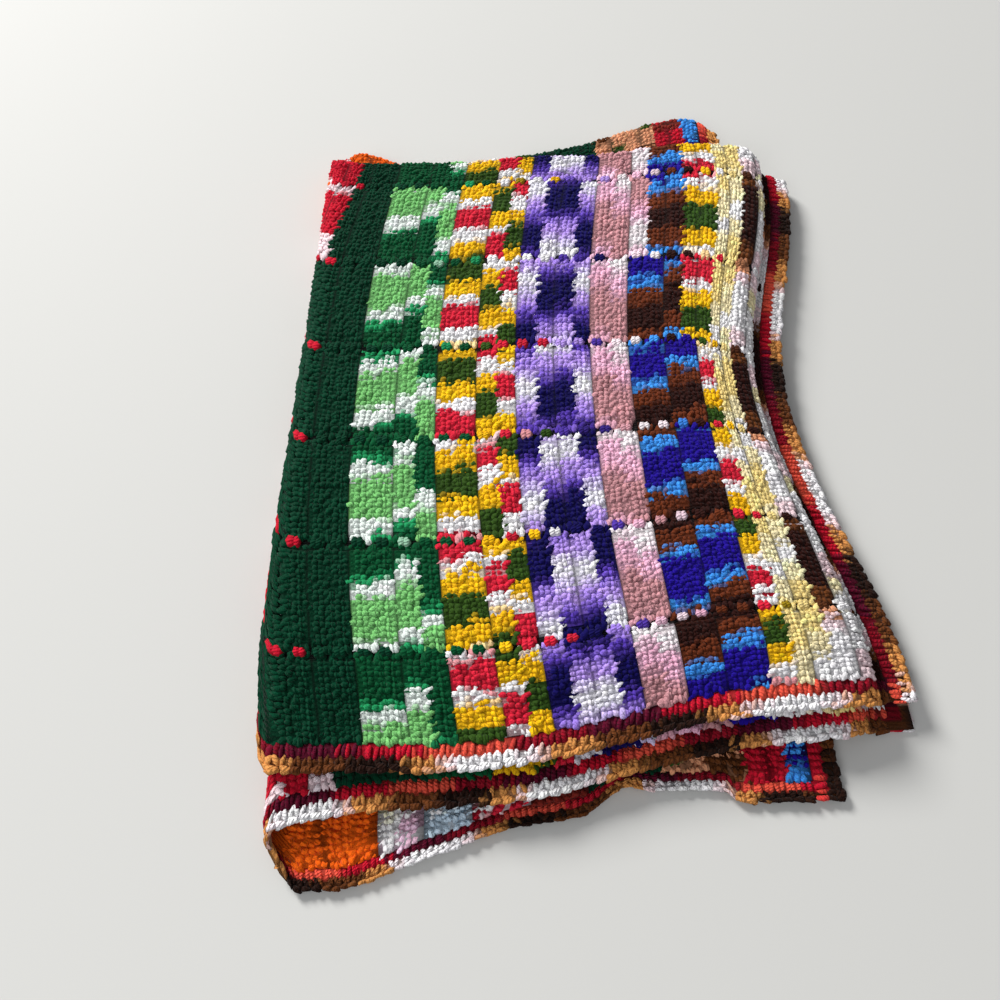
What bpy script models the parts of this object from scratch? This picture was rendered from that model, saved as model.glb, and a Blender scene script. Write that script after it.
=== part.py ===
# Crocheted square blanket, folded in half and in half again, lying flat.
# Sizes are in millimetres and become metres where the meshes are made.
#
# The cloth follows a U-shaped path seen from the front: along the floor from
# right to left, round the left turn, back along the top, and down over the
# lower half at the right. It runs along this path as a hairpin seen from the
# side: outer layer, back fold, inner layer. That gives the four layers.
import math
from collections import namedtuple

import bmesh
import bpy
from mathutils import Vector

MM = 0.001

THICKNESS = 5.0              # double crochet in thick acrylic yarn
LAYER_PITCH = 10.5           # middle to middle of two layers with a back fold
TURN_RADIUS = 11.25          # left turn, at the middle of its two layers
SQUARE_PITCH = 82.0          # one square from front to back
BORDER_WIDTH = 18.0          # two rows of single crochet
PIECE_GAP = 0.3              # between the squares and their border

TURN_CENTRE_X = -139.0
LOWER_END_X = 212.0          # right end of the two lower layers
SHOULDER_X = 221.5           # where the upper layers start to fall
SHOULDER_RADIUS = 13.0
FOOT_RADIUS = 12.0
FALL_ANGLE = math.radians(68.0)
END_FLAT = 20.0              # border that lies on the floor at the right

SEAM_FRONT_Y = (80.0, 135.0, 210.0, 292.0, 376.0, 465.0, 558.0)  # squares' edges on the top layer
SEAM_THICKNESS = 0.55        # share of the thickness left at a seam
COLUMN_THICKNESS = 0.86      # and where the yarn changes from one square to the next
SQUARE_CROWN = 1.10          # and at the middle of a square
SEAM_SIDE = 0.13             # share of a square that slopes down to its seam
SQUARE_SHARE = 0.155         # one square's share of the outer layer
SEAM_PULL = 0.1              # how far the seams lean to the front at the right
LEAN_START = 1.3             # border widths from the front edge where that begins
INNER_SQUARES = 6            # from the back fold's square to the inner front edge
ROW_HEIGHT = 14.6            # one row of double crochet
FIRST_COLUMN_X = -94.0       # left edge of the first whole square of the top layer
COLUMN_ROWS = (4, 4, 4, 2, 4)  # rows of one yarn in the squares, from there to the right
COLUMN_SIDE = SEAM_SIDE * COLUMN_ROWS[0] * ROW_HEIGHT  # slope beside a change of yarn
BORDER_CELLS = 2             # grid cells across the border
COLUMN_BOW = 15.0            # how far the rows bow to the left at mid-depth
BOW_MIDDLE_Y = 345.0
BOW_REACH_Y = 212.0
BOW_FADE_X = 60.0            # from here on the rows bow less,
BOW_END_X = 200.0            # and from here not at all, because
END_DRAWN = 42.0             # the right end itself is drawn in at mid-depth
END_REACH_Y = 250.0
END_START_X = 20.0           # where the cloth begins to be drawn in

SAG_BACK_Y = 150.0           # in front of this the lowest layer has ended,
SAG_FRONT_Y = 78.0           # and here those above it are down on the floor

OUTLINE_CENTRE = Vector((55.109, 342.5, 0.0))  # the part's origin, on the floor

HALF_THICKNESS = THICKNESS / 2
HALF_PITCH = LAYER_PITCH / 2
LOW_Z = HALF_THICKNESS + HALF_PITCH
HIGH_Z = LOW_Z + 2 * TURN_RADIUS
ARC_FALL = (SHOULDER_RADIUS + FOOT_RADIUS) * (1 - math.cos(FALL_ANGLE))
SLOPE_LENGTH = (HIGH_Z - LOW_Z - ARC_FALL) / math.sin(FALL_ANGLE)

# The path as straight and round stretches, from the lower right end.
Stretch = namedtuple("Stretch", "name length turn")
PATH = (
    Stretch("lower", LOWER_END_X - TURN_CENTRE_X, 0.0),
    Stretch("turn", math.pi * TURN_RADIUS, -math.pi),
    Stretch("upper", SHOULDER_X - TURN_CENTRE_X, 0.0),
    Stretch("shoulder", SHOULDER_RADIUS * FALL_ANGLE, -FALL_ANGLE),
    Stretch("slope", SLOPE_LENGTH, 0.0),
    Stretch("foot", FOOT_RADIUS * FALL_ANGLE, FALL_ANGLE),
    Stretch("end", END_FLAT, 0.0),
)
PATH_LENGTH = sum(stretch.length for stretch in PATH)


def stretch_start(name):
    start = 0.0
    for stretch in PATH:
        if stretch.name == name:
            return start
        start += stretch.length
    raise ValueError(name)


TURN_START = stretch_start("turn")
UPPER_START = stretch_start("upper")
SHOULDER_START = stretch_start("shoulder")
FOOT_START = stretch_start("foot")
END_START = stretch_start("end")


def lower(x):
    return LOWER_END_X - x


def upper(x):
    return UPPER_START + x - TURN_CENTRE_X


# Where the cloth's front edges and its back fold lie, along the path. The
# outer layer is the bottom one below and the top one above.
Section = namedtuple("Section", "along outer_front inner_front back")
SECTIONS = (
    Section(lower(212), 152, 50, 658),
    Section(lower(190), 152, 50, 682),
    Section(lower(147), 151, 50, 675),
    Section(lower(139), 151, 56, 671),
    Section(lower(94), 150, 56, 650),
    Section(lower(77), 150, 58, 643),
    Section(lower(53), 150, 43, 636),
    Section(lower(4), 150, 34, 623),
    Section(lower(-35), 150, 21, 617),
    Section(lower(-92), 150, 4, 616),
    Section(TURN_START - 6, 150, 1, 632),
    Section(TURN_START + 8, 138, 5, 622),
    Section(UPPER_START - 8, 70, 28, 598),
    Section(UPPER_START + 2, 64, 34, 591),
    Section(upper(-90), 64, 42, 590),
    Section(upper(-30), 64, 46, 592),
    Section(upper(20), 69, 50, 597),
    Section(upper(84), 83, 65, 602),
    Section(upper(128), 93, 75, 609),
    Section(upper(176), 99, 82, 617),
    Section(SHOULDER_START + 4, 103, 87, 612),
    Section(FOOT_START, 106, 90, 607),
    Section(PATH_LENGTH, 108, 92, 594),
)

# The left fold comes in to the right towards the front, most of all at the
# corner of the lower layers.
Tuck = namedtuple("Tuck", "shift front_y back_y")
TUCKS = (
    Tuck(5.0, 60.0, 210.0),
    Tuck(14.0, 0.0, 36.0),
)
TUCK_LEFT_X = -150.0
TUCK_RIGHT_X = -40.0

# Long soft waves of the upper layers: height, and lengths along and across.
Wave = namedtuple("Wave", "height length_x length_y turn")
WAVES = (
    Wave(0.9, 170.0, 0.0, 0.6),
    Wave(0.7, 0.0, 260.0, 1.9),
    Wave(0.6, 110.0, 190.0, 0.3),
)


def smooth(low, high, value):
    # From 0 at low to 1 at high, which may be the smaller.
    share = min(1.0, max(0.0, (value - low) / (high - low)))
    return share * share * (3 - 2 * share)


def path_point(along):
    # Returns x, z and the heading of the path at this length along it.
    x, z, heading = LOWER_END_X, LOW_Z, math.pi
    rest = along
    for stretch in PATH:
        last = stretch is PATH[-1]
        part = rest if last else min(rest, stretch.length)
        if stretch.turn:
            radius = stretch.length / stretch.turn
            new_heading = heading + part / radius
            x += radius * (math.sin(new_heading) - math.sin(heading))
            z -= radius * (math.cos(new_heading) - math.cos(heading))
            heading = new_heading
        else:
            x += part * math.cos(heading)
            z += part * math.sin(heading)
        rest -= part
        if rest <= 0:
            break
    return x, z, heading


def section_value(column, along):
    # Smooth curve through one column of the sections.
    rows = SECTIONS
    along = min(max(along, rows[0].along), rows[-1].along)
    last = len(rows) - 2
    k = next((i for i in range(last + 1) if along <= rows[i + 1].along), last)

    def slope(i):
        a, b = rows[max(i - 1, 0)], rows[min(i + 1, last + 1)]
        return (getattr(b, column) - getattr(a, column)) / (b.along - a.along)

    a, b = rows[k], rows[k + 1]
    span = b.along - a.along
    t = (along - a.along) / span
    start = (1 + 2 * t) * (1 - t) ** 2 * getattr(a, column)
    end = t * t * (3 - 2 * t) * getattr(b, column)
    return start + end + span * (t * (1 - t) ** 2 * slope(k) - t * t * (1 - t) * slope(k + 1))


def upper_share(along):
    # 1 on the upper layers, 0 on the lower ones and where they lie at the right.
    return smooth(TURN_START, UPPER_START, along) * (1 - smooth(SHOULDER_START, END_START, along))


def sag_share(along):
    return 1 - smooth(SHOULDER_START, END_START, along)


def wave_height(along, y):
    height = 0.0
    for wave in WAVES:
        phase = wave.turn
        if wave.length_x:
            phase += 2 * math.pi * along / wave.length_x
        if wave.length_y:
            phase += 2 * math.pi * y / wave.length_y
        height += wave.height * math.sin(phase)
    return height * upper_share(along)


def tuck_shift(x, y):
    shift = sum(tuck.shift * (1 - smooth(tuck.front_y, tuck.back_y, y)) for tuck in TUCKS)
    return shift * (1 - smooth(TUCK_LEFT_X, TUCK_RIGHT_X, x))


def end_shift(x, y):
    turn = math.pi / 2 * min(1.0, abs(y - BOW_MIDDLE_Y) / END_REACH_Y)
    share = min(1.0, max(0.0, (x - END_START_X) / (SHOULDER_X - END_START_X)))
    return -END_DRAWN * math.cos(turn) ** 2 * share ** 2


def cloth_point(along, place):
    # The middle of the cloth. Place runs 0 to 1 over the outer layer from its
    # front edge, 1 to 2 round the back fold and 2 to 3 to the inner front edge.
    x, z, heading = path_point(along)
    fold_y = section_value("back", along) - HALF_PITCH
    if place <= 1:
        front = section_value("outer_front", along)
        y = front + (fold_y - front) * place
        offset = HALF_PITCH
    elif place < 2:
        angle = math.pi * (place - 1)
        y = fold_y + HALF_PITCH * math.sin(angle)
        offset = HALF_PITCH * math.cos(angle)
    else:
        front = section_value("inner_front", along)
        y = fold_y + (front - fold_y) * (place - 2)
        offset = -HALF_PITCH
    x -= offset * math.sin(heading)
    x += tuck_shift(x, y) + end_shift(x, y)
    z += offset * math.cos(heading)
    z -= LAYER_PITCH * (1 - smooth(SAG_FRONT_Y, SAG_BACK_Y, y)) * sag_share(along)
    z += wave_height(along, y)
    return Vector((x, y, z))


def cloth_normal(along, place):
    # Out of the face that is on top of the top layer.
    step, small = 0.5, 0.002
    low, high = max(place - small, 0.0), min(place + small, 3.0)
    across = cloth_point(along, high) - cloth_point(along, low)
    lengthwise = cloth_point(along + step, place) - cloth_point(max(along - step, 0.0), place)
    return lengthwise.cross(across).normalized()


def seam_places():
    # The seams' places on the outer layer and, past the fold, on the inner one.
    front = section_value("outer_front", upper(-90))
    fold = section_value("back", upper(-90)) - HALF_PITCH
    inner_front = section_value("inner_front", upper(-90))
    outer = [(y - front) / (fold - front) for y in SEAM_FRONT_Y]
    used = fold - SEAM_FRONT_Y[-1] + math.pi * HALF_PITCH
    length = fold - inner_front
    first = SQUARE_PITCH - used
    pitch = (length - BORDER_WIDTH - first) / INNER_SQUARES
    inner = [2 + (first + pitch * k) / length for k in range(INNER_SQUARES)]
    return outer + inner


def column_lines():
    edge = upper(FIRST_COLUMN_X)
    edges = [edge]
    for rows in COLUMN_ROWS:
        edge += rows * ROW_HEIGHT
        edges.append(edge)
    return edges


def column_depth(along, place, columns):
    if place > 1:
        return 0.0
    nearest = min(abs(along - column) for column in columns)
    return max(0.0, 1 - nearest / COLUMN_SIDE)


def bowed(along, place):
    # The rows of the top layer bow to the left between its front and its fold.
    if place > 1 or not UPPER_START < along < SHOULDER_START:
        return along
    y = section_value("outer_front", along)
    y += (section_value("back", along) - HALF_PITCH - y) * place
    bow = COLUMN_BOW * (((y - BOW_MIDDLE_Y) / BOW_REACH_Y) ** 2 - 1)
    left = smooth(UPPER_START, UPPER_START + 2 * COLUMN_BOW, along)
    right = smooth(upper(BOW_END_X), upper(BOW_FADE_X), along)
    return along + bow * left * right * (1 - smooth(0.9, 1, place))


def leaning(place, along):
    # The seams lie nearer the front towards the right, but not at the edges.
    edge = LEAN_START * BORDER_WIDTH / (SEAM_FRONT_Y[-1] - SEAM_FRONT_Y[0])
    if not edge < place < 1:
        return place
    right = min(max((along - upper(-30)) / (upper(176) - upper(-30)), 0.0), 1.2)
    pull = SEAM_PULL * right ** 1.7
    return edge + (place - edge) * (1 - pull * (1 - place ** 3))


def seam_depth(place, seams):
    nearest = min(abs(place - seam) for seam in seams)
    return max(0.0, 1 - nearest / (SEAM_SIDE * SQUARE_SHARE))


def even_lines(start, end, cells):
    return [start + (end - start) * i / cells for i in range(cells)]


def along_lines(columns):
    # Grid lines along the path, with a narrow strip left out beside the border.
    inner_start, inner_end = BORDER_WIDTH + PIECE_GAP, PATH_LENGTH - BORDER_WIDTH - PIECE_GAP
    lines = even_lines(0.0, BORDER_WIDTH, BORDER_CELLS) + [BORDER_WIDTH]
    lines += even_lines(inner_start, lower(147), 2) + even_lines(lower(147), lower(139), 1)
    lines += even_lines(lower(139), lower(53), 3) + even_lines(lower(53), TURN_START, 7)
    lines += even_lines(TURN_START, UPPER_START, 7)
    lines += even_lines(UPPER_START, columns[0] - SEAM_SIDE * SQUARE_PITCH, 2)
    lines += [columns[0] - SEAM_SIDE * SQUARE_PITCH]
    for start, end in zip(columns, columns[1:]):
        lines += [start, start + COLUMN_SIDE, (start + end) / 2, end - COLUMN_SIDE]
    lines += even_lines(columns[-1], SHOULDER_START, 4)
    lines += even_lines(SHOULDER_START, FOOT_START, 4) + even_lines(FOOT_START, inner_end, 3)
    lines += [inner_end]
    return lines + even_lines(PATH_LENGTH - BORDER_WIDTH, PATH_LENGTH, BORDER_CELLS) + [PATH_LENGTH]


def place_lines(seams):
    # Grid lines across the cloth: each square on the outer layer has its two
    # sloping sides and a middle line.
    outer_length = section_value("back", upper(0)) - section_value("outer_front", upper(0))
    inner_length = section_value("back", upper(0)) - section_value("inner_front", upper(0))
    border = BORDER_WIDTH / outer_length
    gap = PIECE_GAP / outer_length
    inner_border = BORDER_WIDTH / inner_length
    inner_gap = PIECE_GAP / inner_length
    outer = [seam for seam in seams if border * 1.2 < seam < 1]
    inner = [seam for seam in seams if seam > 2]
    stops = [border + gap] + outer
    lines = even_lines(0.0, border, BORDER_CELLS) + [border]
    for start, end in zip(stops, stops[1:]):
        lines += [start + (end - start) * share for share in (0.0, SEAM_SIDE, 0.5, 1 - SEAM_SIDE)]
    lines += even_lines(stops[-1], 1.0, 2) + even_lines(1.0, 2.0, 5)
    stops = [2.0] + inner + [3 - inner_border - inner_gap]
    for start, end in zip(stops, stops[1:]):
        lines += even_lines(start, end, 2)
    lines += [stops[-1]]
    return lines + even_lines(3 - inner_border, 3.0, BORDER_CELLS) + [3.0]


def cloth_solid(name, lines, places, seams, columns, in_piece):
    # One closed solid of the grid cells that belong to the piece.
    mesh = bmesh.new()
    corners = {}

    def corner(i, j, side):
        key = (i, j, side)
        if key not in corners:
            along, place = lines[i], places[j]
            crown = 1 + (SQUARE_CROWN - 1) * upper_share(along)
            seam = crown + (SEAM_THICKNESS - crown) * seam_depth(place, seams) * upper_share(along)
            column = crown + (COLUMN_THICKNESS - crown) * column_depth(along, place, columns)
            half = HALF_THICKNESS * min(seam, column)
            place = leaning(place, along)
            along = bowed(along, place)
            point = cloth_point(along, place) + cloth_normal(along, place) * half * side
            point.z = max(point.z, 0.0)
            corners[key] = mesh.verts.new((point - OUTLINE_CENTRE) * MM)
        return corners[key]

    cells = {(i, j) for i in range(len(lines) - 1) for j in range(len(places) - 1) if in_piece(i, j)}
    for i, j in sorted(cells):
        ring = ((i, j), (i + 1, j), (i + 1, j + 1), (i, j + 1))
        mesh.faces.new([corner(a, b, 1) for a, b in ring])
        mesh.faces.new([corner(a, b, -1) for a, b in reversed(ring)])
        walls = (((i, j), (i + 1, j), (i, j - 1)), ((i + 1, j), (i + 1, j + 1), (i + 1, j)),
                 ((i + 1, j + 1), (i, j + 1), (i, j + 1)), ((i, j + 1), (i, j), (i - 1, j)))
        for start, end, neighbour in walls:
            if neighbour not in cells:
                mesh.faces.new([corner(*start, -1), corner(*end, -1), corner(*end, 1), corner(*start, 1)])
    bmesh.ops.triangulate(mesh, faces=mesh.faces[:])
    bmesh.ops.recalc_face_normals(mesh, faces=mesh.faces[:])
    data = bpy.data.meshes.new(name)
    mesh.to_mesh(data)
    mesh.free()
    data.shade_smooth()
    data.set_sharp_from_angle(angle=math.radians(50))
    return data


def yarn_material(name, color):
    material = bpy.data.materials.new(name)
    material.use_nodes = True
    shader = material.node_tree.nodes["Principled BSDF"]
    shader.inputs["Base Color"].default_value = (*color, 1.0)
    shader.inputs["Roughness"].default_value = 0.9
    shader.inputs["Metallic"].default_value = 0.0
    return material


def add_piece(name, data, material):
    data.materials.append(material)
    piece = bpy.data.objects.new(name, data)
    bpy.context.scene.collection.objects.link(piece)
    return piece


def main():
    for old in list(bpy.data.objects):
        bpy.data.objects.remove(old)
    seams = seam_places()
    columns = column_lines()
    lines = along_lines(columns)
    places = place_lines(seams)
    last_i, last_j = len(lines) - 2, len(places) - 2

    def in_squares(i, j):
        # One cell between the border and the squares is the gap.
        within = BORDER_CELLS < i < last_i - BORDER_CELLS
        return within and BORDER_CELLS < j < last_j - BORDER_CELLS

    def in_border(i, j):
        ends = i < BORDER_CELLS or i > last_i - BORDER_CELLS
        fronts = j < BORDER_CELLS or j > last_j - BORDER_CELLS
        return ends or fronts

    squares = cloth_solid("squares", lines, places, seams, columns, in_squares)
    add_piece("squares", squares, yarn_material("square_yarn", (0.012, 0.16, 0.075)))
    border = cloth_solid("border", lines, places, seams, columns, in_border)
    add_piece("border", border, yarn_material("border_yarn", (0.25, 0.02, 0.045)))


main()
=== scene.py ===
import math
from collections import namedtuple

import bpy
import numpy as np
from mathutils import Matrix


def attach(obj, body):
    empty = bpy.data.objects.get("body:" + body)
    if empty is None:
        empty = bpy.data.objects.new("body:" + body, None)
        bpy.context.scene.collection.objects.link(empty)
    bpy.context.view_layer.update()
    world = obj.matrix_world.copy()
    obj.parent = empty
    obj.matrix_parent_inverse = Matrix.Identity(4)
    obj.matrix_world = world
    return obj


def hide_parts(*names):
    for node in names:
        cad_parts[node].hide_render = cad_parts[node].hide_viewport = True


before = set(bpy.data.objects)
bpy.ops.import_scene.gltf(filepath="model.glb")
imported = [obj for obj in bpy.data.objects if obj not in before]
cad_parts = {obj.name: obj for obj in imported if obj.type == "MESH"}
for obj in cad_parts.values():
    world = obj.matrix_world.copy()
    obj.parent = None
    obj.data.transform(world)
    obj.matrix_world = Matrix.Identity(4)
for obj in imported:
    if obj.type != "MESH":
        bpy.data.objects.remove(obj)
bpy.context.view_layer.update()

mm = 0.001
rng = np.random.default_rng(7)

# Sizes of the folded cloth, in millimetres, as its solids have them.
thickness = 5.0
layerPitch = 10.5            # middle to middle of two layers with a back fold
turnRadius = 11.25           # left turn
borderWidth = 18.0
turnCentreX = -139.0
lowerEndX = 212.0
shoulderX = 221.5
shoulderRadius = 13.0
footRadius = 12.0
fallAngle = math.radians(68.0)
endFlat = 20.0
floorGap = 0.15              # nothing lies lower than this
seamFrontY = (80.0, 135.0, 210.0, 292.0, 376.0, 465.0, 558.0)
innerSquares = 6
squarePitch = 82.0
sagBackY = 150.0
sagFrontY = 78.0
outlineCentre = np.array([55.109, 342.5, 0.0])

halfPitch = layerPitch / 2
lowZ = thickness / 2 + halfPitch
highZ = lowZ + 2 * turnRadius
arcFall = (shoulderRadius + footRadius) * (1 - math.cos(fallAngle))
slopeLength = (highZ - lowZ - arcFall) / math.sin(fallAngle)

Stretch = namedtuple("Stretch", "name length turn")
path = (
    Stretch("lower", lowerEndX - turnCentreX, 0.0),
    Stretch("turn", math.pi * turnRadius, -math.pi),
    Stretch("upper", shoulderX - turnCentreX, 0.0),
    Stretch("shoulder", shoulderRadius * fallAngle, -fallAngle),
    Stretch("slope", slopeLength, 0.0),
    Stretch("foot", footRadius * fallAngle, fallAngle),
    Stretch("end", endFlat, 0.0),
)
pathLength = sum(stretch.length for stretch in path)
starts = {stretch.name: sum(other.length for other in path[:k]) for k, stretch in enumerate(path)}


def lower(x):
    return lowerEndX - x


def upper(x):
    return starts["upper"] + x - turnCentreX


# Front edges and back fold of the cloth, along its path.
Section = namedtuple("Section", "along outerFront innerFront back")
sections = (
    Section(lower(212), 152, 50, 658),
    Section(lower(190), 152, 50, 682),
    Section(lower(147), 151, 50, 675),
    Section(lower(139), 151, 56, 671),
    Section(lower(94), 150, 56, 650),
    Section(lower(77), 150, 58, 643),
    Section(lower(53), 150, 43, 636),
    Section(lower(4), 150, 34, 623),
    Section(lower(-35), 150, 21, 617),
    Section(lower(-92), 150, 4, 616),
    Section(starts["turn"] - 6, 150, 1, 632),
    Section(starts["turn"] + 8, 138, 5, 622),
    Section(starts["upper"] - 8, 70, 28, 598),
    Section(starts["upper"] + 2, 64, 34, 591),
    Section(upper(-90), 64, 42, 590),
    Section(upper(-30), 64, 46, 592),
    Section(upper(20), 69, 50, 597),
    Section(upper(84), 83, 65, 602),
    Section(upper(128), 93, 75, 609),
    Section(upper(176), 99, 82, 617),
    Section(starts["shoulder"] + 4, 103, 87, 612),
    Section(starts["foot"], 106, 90, 607),
    Section(pathLength, 108, 92, 594),
)

# The left fold comes in to the right towards the front.
Tuck = namedtuple("Tuck", "shift frontY backY")
tucks = (
    Tuck(5.0, 60.0, 210.0),
    Tuck(14.0, 0.0, 36.0),
)
tuckLeftX = -150.0
tuckRightX = -40.0

# At mid-depth the right end is drawn in to the left.
middleY = 345.0
endDrawn = dict(depth=42.0, reachY=250.0, startX=20.0)

Wave = namedtuple("Wave", "height lengthX lengthY turn")
waves = (
    Wave(0.9, 170.0, math.inf, 0.6),
    Wave(0.7, math.inf, 260.0, 1.9),
    Wave(0.6, 110.0, 190.0, 0.3),
)


def smooth(low, high, value):
    share = np.clip((value - low) / (high - low), 0.0, 1.0)
    return share * share * (3 - 2 * share)


def pathPoints(along):
    # x, z and heading of the path at each length along it.
    x = np.full(along.shape, lowerEndX)
    z = np.full(along.shape, lowZ)
    heading = np.full(along.shape, math.pi)
    rest = along.astype(float)
    for k, stretch in enumerate(path):
        first, last = k == 0, k == len(path) - 1
        part = rest if first else np.maximum(rest, 0.0)
        part = part if last else np.minimum(part, stretch.length)
        if stretch.turn:
            radius = stretch.length / stretch.turn
            newHeading = heading + part / radius
            x = x + radius * (np.sin(newHeading) - np.sin(heading))
            z = z - radius * (np.cos(newHeading) - np.cos(heading))
            heading = newHeading
        else:
            x = x + part * np.cos(heading)
            z = z + part * np.sin(heading)
        rest = rest - stretch.length
    return x, z, heading


def sectionValue(column, along):
    # Smooth curve through one column of the sections.
    at = np.array([row.along for row in sections])
    value = np.array([getattr(row, column) for row in sections], float)
    before = np.maximum(np.arange(len(at)) - 1, 0)
    after = np.minimum(np.arange(len(at)) + 1, len(at) - 1)
    slope = (value[after] - value[before]) / (at[after] - at[before])
    along = np.clip(along, at[0], at[-1])
    k = np.clip(np.searchsorted(at, along) - 1, 0, len(at) - 2)
    span = at[k + 1] - at[k]
    t = (along - at[k]) / span
    start = (1 + 2 * t) * (1 - t) ** 2 * value[k]
    end = t * t * (3 - 2 * t) * value[k + 1]
    return start + end + span * (t * (1 - t) ** 2 * slope[k] - t * t * (1 - t) * slope[k + 1])


def upperShare(along):
    fallen = smooth(starts["shoulder"], starts["end"], along)
    return smooth(starts["turn"], starts["upper"], along) * (1 - fallen)


def tuckShift(x, y):
    shift = sum(tuck.shift * (1 - smooth(tuck.frontY, tuck.backY, y)) for tuck in tucks)
    return shift * (1 - smooth(tuckLeftX, tuckRightX, x))


def endShift(x, y):
    turn = math.pi / 2 * np.minimum(1.0, np.abs(y - middleY) / endDrawn["reachY"])
    share = np.clip((x - endDrawn["startX"]) / (shoulderX - endDrawn["startX"]), 0.0, 1.0)
    return -endDrawn["depth"] * np.cos(turn) ** 2 * share ** 2


def clothMiddle(along, place):
    # Place runs 0 to 1 over the outer layer, to 2 round the back fold, to 3 on the inner one.
    x, z, heading = pathPoints(along)
    foldY = sectionValue("back", along) - halfPitch
    outerFront = sectionValue("outerFront", along)
    innerFront = sectionValue("innerFront", along)
    angle = math.pi * np.clip(place - 1, 0.0, 1.0)
    onOuter = outerFront + (foldY - outerFront) * place
    onInner = foldY + (innerFront - foldY) * (place - 2)
    onFold = foldY + halfPitch * np.sin(angle)
    y = np.where(place <= 1, onOuter, np.where(place < 2, onFold, onInner))
    offset = halfPitch * np.cos(angle)
    x = x - offset * np.sin(heading)
    x = x + tuckShift(x, y) + endShift(x, y)
    z = z + offset * np.cos(heading)
    held = 1 - smooth(starts["shoulder"], starts["end"], along)
    z = z - layerPitch * (1 - smooth(sagFrontY, sagBackY, y)) * held
    share = upperShare(along)
    for wave in waves:
        phase = wave.turn + 2 * math.pi * along / wave.lengthX + 2 * math.pi * y / wave.lengthY
        z = z + wave.height * np.sin(phase) * share
    return np.stack([x, y, z], -1)


def onCloth(along, place, height):
    # Points this high above the cloth's middle, in metres in the row frame.
    placeStep, pathStep = 0.002, 0.5
    before, after = np.maximum(place - placeStep, 0.0), np.minimum(place + placeStep, 3.0)
    across = clothMiddle(along, after) - clothMiddle(along, before)
    onward = clothMiddle(along + pathStep, place) - clothMiddle(along - pathStep, place)
    normal = np.cross(onward, across)
    normal /= np.linalg.norm(normal, axis=-1, keepdims=True)
    point = clothMiddle(along, place) + normal * height[..., None]
    point[..., 2] = np.maximum(point[..., 2], floorGap)
    return (point - outlineCentre) * mm


# Rows of double crochet along the path, counted from the lower right end. A
# mark says where a row starts on the outer layer, and how far to the right the
# same row lies at the inner layer's front.
RowMark = namedtuple("RowMark", "row along shift")
rowHeight = 14.5
rowMarks = (
    RowMark(0, borderWidth, 0.0),
    RowMark(7, lower(93), -11.0),
    RowMark(12, lower(20), -36.0),
    RowMark(16, lower(-39), -23.0),
    RowMark(20, lower(-96), -22.0),
    RowMark(23, lower(-137), -7.0),
    RowMark(25, starts["turn"] + 16, 23.0),
    RowMark(26, upper(-149), 30.0),
    RowMark(27, upper(-135), 31.0),
    RowMark(30, upper(-93.3), 32.0),
    RowMark(34, upper(-33), 30.0),
    RowMark(38, upper(26.5), 20.0),
    RowMark(42, upper(86), 12.0),
    RowMark(49, upper(194), 6.0),
    RowMark(52, starts["shoulder"] + 8, 3.0),
    RowMark(55, pathLength - borderWidth, 0.0),
)
rowCount = rowMarks[-1].row
turnRow = 23                 # first of the rows that go round the left turn
# How the rows of the outer layer bend: all bow to the left at mid-depth, the first
# green ones are narrower at the back, and those at the right lie further in at the front.
bow = dict(depth=15.0, reachY=212.0, left=(lower(-60), upper(-130)), right=(upper(60), upper(200)),
           foldFade=(0.9, 1.6))
fan = dict(width=8.0, back=(450.0, 590.0), right=(upper(-149), upper(-93.3)))
frontPull = dict(width=9.0, front=(180.0, 330.0), left=(upper(90), upper(180)),
                 right=(upper(200), pathLength - borderWidth))


def rowAlong(row, place):
    # Where a row lies on the path: the outer layer bows, the inner one is shifted.
    rows = [mark.row for mark in rowMarks]
    along = np.interp(row, rows, [mark.along for mark in rowMarks])
    along = along + np.interp(row, rows, [mark.shift for mark in rowMarks]) * np.clip(place - 2, 0.0, 1.0)
    y = clothMiddle(along, place)[..., 1]
    bowed = bow["depth"] * (((y - middleY) / bow["reachY"]) ** 2 - 1)
    fanned = fan["width"] * smooth(*fan["back"], y) * (1 - smooth(*fan["right"], along))
    bent = (bowed + fanned) * smooth(*bow["left"], along) * (1 - smooth(*bow["right"], along))
    pulled = smooth(*frontPull["left"], along) * (1 - smooth(*frontPull["right"], along))
    pulled = pulled * frontPull["width"] * (1 - smooth(*frontPull["front"], y))
    return along + (bent - pulled) * (1 - smooth(*bow["foldFade"], place))


# Stitches across the cloth: strips of squares, with their count of stitches. The
# seams' places are measured where the outer layer has its first column.
columnAlong = upper(-90)
foldToFronts = [sectionValue("back", upper(0)) - sectionValue(column, upper(0))
                for column in ("outerFront", "innerFront")]
borderPlace = borderWidth / foldToFronts[0]
innerBorderPlace = borderWidth / foldToFronts[1]


def seamPlaces():
    front = sectionValue("outerFront", columnAlong)
    fold = sectionValue("back", columnAlong) - halfPitch
    outer = [(y - front) / (fold - front) for y in seamFrontY]
    first = squarePitch - (fold - seamFrontY[-1] + math.pi * halfPitch)
    length = fold - sectionValue("innerFront", columnAlong)
    pitch = (length - borderWidth - first) / innerSquares
    inner = [2 + (first + pitch * k) / length for k in range(innerSquares)]
    return [borderPlace] + outer[1:] + inner + [3 - innerBorderPlace]


seams = seamPlaces()
seamWidth = 1.0              # a seam takes up one stitch
seamMargin = 0.3             # and the stitches beside it come this near
frontStitches = 9            # the strip at the front is narrower
squareStitches = 11
stripStitches = [frontStitches] + [squareStitches] * (len(seams) - 2)
stitchCount = sum(stripStitches)
stripFirst = np.cumsum([0] + stripStitches)
foldBends = (4.2, 6.4)       # where the square on the back fold bends, in stitches


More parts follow.
